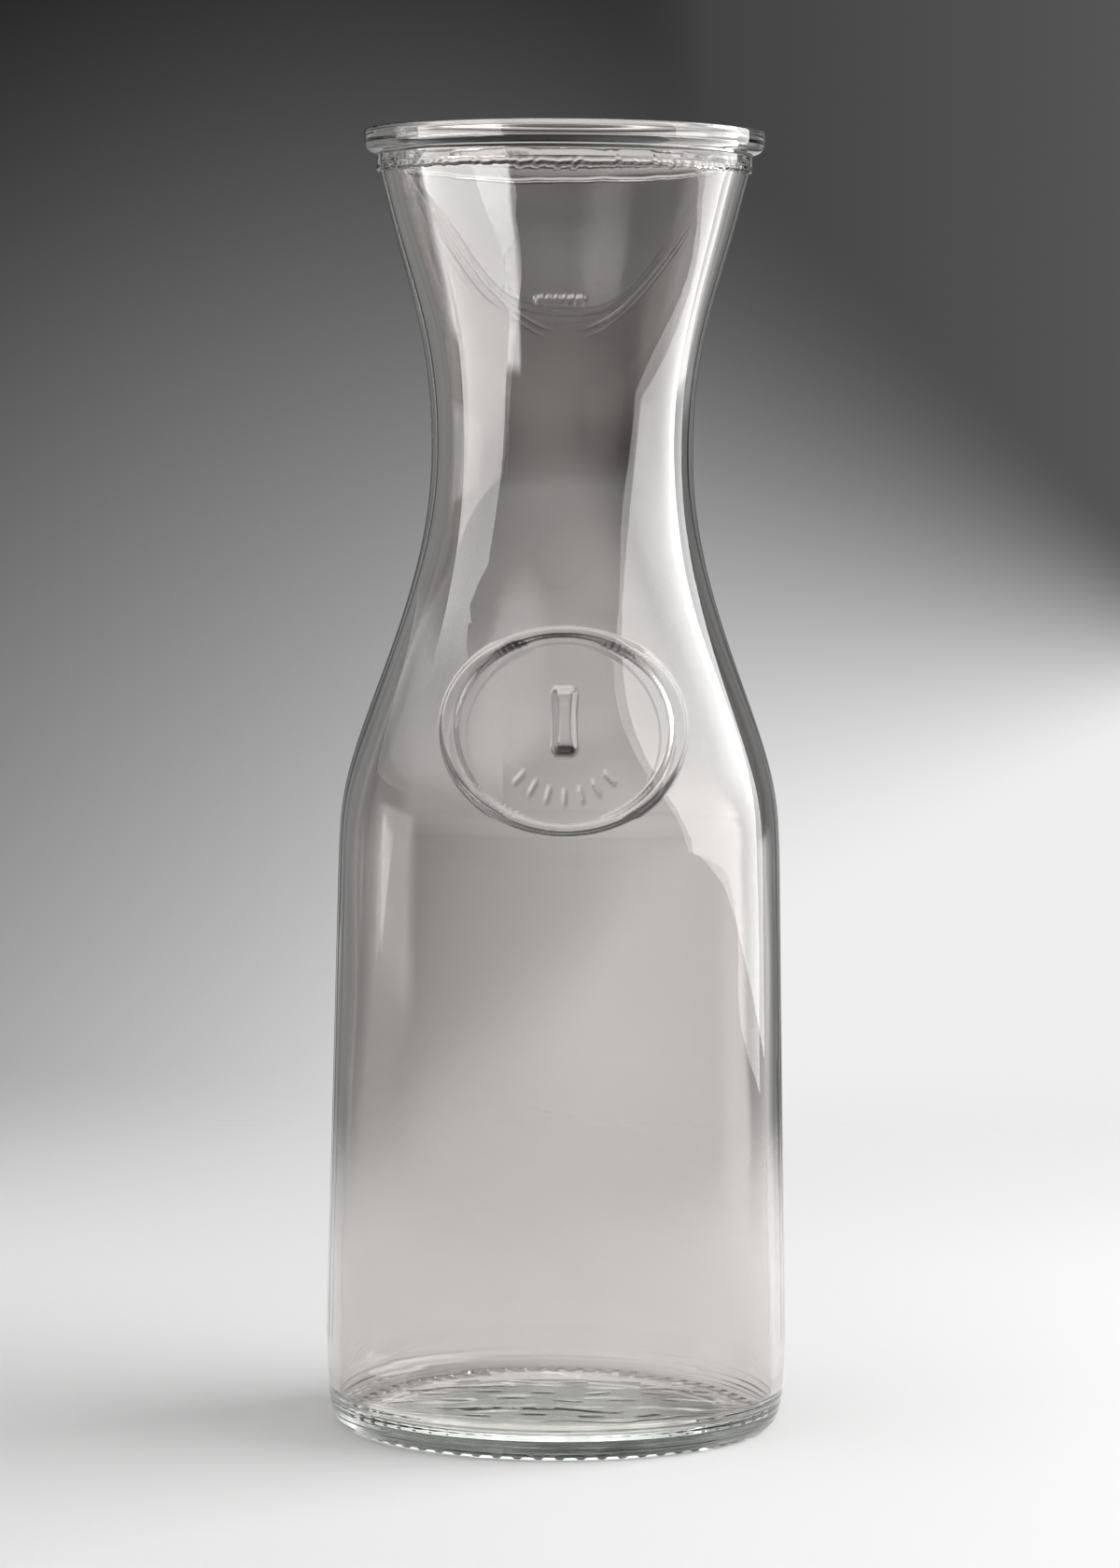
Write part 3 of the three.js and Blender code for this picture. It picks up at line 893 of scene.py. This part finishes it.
# Backdrop: a plain sweep behind the jug, pale below and dark grey above. The light comes across it from the
# right, so the dark part reaches lower on the left and its edges slope. Tones are as a screen shows them.
PALE_TONE = 0.934
DARK_TONE = 0.27
DARKEST_TONE = 0.1
DARK_LEFT = 5.5
DARK_RIGHT = 0.83
PALE_LEVEL = -0.10
PALE_LEFT = 1.88
PALE_RIGHT = 0.57
DARK_LEVEL = 0.067
DARK_LEVEL_LEFT = -3.07
DARK_LEVEL_RIGHT = -0.97
FRAME_EDGE = 0.107
SWEEP_MIDDLE = 0.027
SWEEP_TURN = 0.021

world = bpy.data.worlds.new("studio")
scene.world = world
world.use_nodes = True
studio = world.node_tree
studio.nodes.clear()
direction = Value.node(studio, "ShaderNodeTexCoord", {}, {}, "Generated")
right, back, up = [Value.node(studio, "ShaderNodeSeparateXYZ", {}, {0: direction}, axis) for axis in "XYZ"]
turn = right.math("ARCTAN2", right, 0 - back) * math.degrees(1)
rise = up.math("ARCSINE", up, 0.0) * math.degrees(1)

sideways = (right - SWEEP_TURN * back).at_most(FRAME_EDGE).at_least(-FRAME_EDGE) - SWEEP_MIDDLE
to_left = sideways.at_most(0.0)
to_right = sideways.at_least(0.0)
pale_below = PALE_LEVEL + PALE_LEFT * to_left + PALE_RIGHT * to_right
dark_above = DARK_LEVEL + DARK_LEVEL_LEFT * to_left + DARK_LEVEL_RIGHT * to_right
dark = DARK_TONE + DARK_LEFT * to_left + DARK_RIGHT * to_right
sweep = PALE_TONE + (dark - PALE_TONE) * up.between(pale_below, dark_above)
sweep = sweep.at_least(DARKEST_TONE)

# Studio round the jug, which only the glass shows: grey sides beside the sweep, and in front a pale room
# with a bright ceiling, a dark floor and a dim patch over the camera. A white panel stands low on the left,
# which the glass mirrors but doesn't let through, with a smaller one behind it.
GAP_TONE = 0.48
GAP_SHIFT = 0.06
GAP_SHIFT_RISE = (-2.5, 1.5)
GAP_START = (0.112, 0.150)
GAP_END = (0.52, 0.65)
LEFT_TONE = 0.52
LEFT_START = (0.15, 0.30)
HIGH_LEFT_TONE = 0.85
HIGH_LEFT_START = (0.40, 0.60)
HIGH_LEFT_RISE = (15.0, 1.5)
ROOM_TONE = 0.98
ROOM_START = (-0.1, 0.2)
ROOM_FLOOR_TONE = 0.31
ROOM_FLOOR_RISE = (4.5, 5.0)
CEILING_TONE = 1.55
CEILING_RISE = (35.5, 4.6)
CEILING_DIP = 7.0
CEILING_DIP_START = (5.0, 35.0)
CEILING_DIP_END = (48.0, 68.0)
OVERHEAD_TONE = 0.77
OVERHEAD_RISE = (40.0, 3.0)
OVERHEAD_FRONT_TONE = 0.4
OVERHEAD_FRONT_START = (0.35, 0.55)
ROUND_ABOUT_TONE = 0.56
SEEN_THROUGH_RISE = ((-25.0, 4.0), (-8.0, 2.0))
TONE_CURVE = 2.2
LEFT_PANEL_LIGHT = 9.0
LEFT_PANEL_TURN = ((38.0, 2.0), (104.0, 8.0))
LEFT_PANEL_RISE = ((-34.0, 2.0), (-13.5, 2.0))
LEFT_PATCH_LIGHT = 1.4
LEFT_PATCH_TURN = ((85.5, 3.0), (113.0, 4.0))
LEFT_PATCH_RISE = ((-4.4, 0.8), (6.8, 0.8))

left = 0 - right
left_turn = 0 - turn
through_glass = Value.node(studio, "ShaderNodeLightPath", {}, {}, "Is Transmission Ray")

gap_shift = GAP_SHIFT * (1 - rise.past(*GAP_SHIFT_RISE))
gap = (right - gap_shift).between(*GAP_START) * (1 - right.between(*GAP_END))
high_left = rise.past(*HIGH_LEFT_RISE)
tone = sweep + gap * (GAP_TONE - sweep)
tone = tone + left.between(*LEFT_START) * (1 - high_left) * (LEFT_TONE - tone)
tone = tone + left.between(*HIGH_LEFT_START) * high_left * (HIGH_LEFT_TONE - tone)

dip = CEILING_DIP * left_turn.between(*CEILING_DIP_START) * (1 - left_turn.between(*CEILING_DIP_END))
room = ROOM_TONE + (rise + dip).past(*CEILING_RISE) * (CEILING_TONE - ROOM_TONE)
room = ROOM_FLOOR_TONE + rise.past(*ROOM_FLOOR_RISE) * (room - ROOM_FLOOR_TONE)
room = room + through_glass * rise.within(*SEEN_THROUGH_RISE) * (ROUND_ABOUT_TONE - room)
tone = room + back.between(*ROOM_START) * (tone - room)

over_camera = (0 - back).between(*OVERHEAD_FRONT_START)
overhead = OVERHEAD_TONE + over_camera * (OVERHEAD_FRONT_TONE - OVERHEAD_TONE)
tone = tone + rise.past(*OVERHEAD_RISE) * (overhead - tone)
light = tone ** TONE_CURVE

left_panel = left_turn.within(*LEFT_PANEL_TURN) * rise.within(*LEFT_PANEL_RISE) * (1 - through_glass)
left_patch = left_turn.within(*LEFT_PATCH_TURN) * rise.within(*LEFT_PATCH_RISE)
light = light + left_panel * (LEFT_PANEL_LIGHT - light)
light = light + left_patch * (LEFT_PATCH_LIGHT - light)

# What the camera itself sees: the plain sweep behind the jug and, from any other side, a backdrop of the
# same kind, pale below and grey above. It sees none of the lights.
ROUND_ABOUT_RISE = (-16.0, -2.0)
SWEEP_START = (0.6, 0.9)

round_about = PALE_TONE + rise.between(*ROUND_ABOUT_RISE) * (ROUND_ABOUT_TONE - PALE_TONE)
seen_backdrop = round_about + back.between(*SWEEP_START) * (sweep - round_about)
looked_at = Value.node(studio, "ShaderNodeLightPath", {}, {}, "Is Camera Ray")
light = light + looked_at * (seen_backdrop ** TONE_CURVE - light)
grey = Value.node(studio, "ShaderNodeCombineColor", {}, {"Red": light, "Green": light, "Blue": light})
sky = Value.node(studio, "ShaderNodeBackground", {}, {"Color": grey})
Value.node(studio, "ShaderNodeOutputWorld", {}, {"Surface": sky})

# Paths of light: a ray passes many faces of glass before it leaves the jug, so it may bend often, and it
# is mirrored a few times between the walls.
scene.cycles.max_bounces = 24
scene.cycles.transmission_bounces = 24
scene.cycles.glossy_bounces = 8
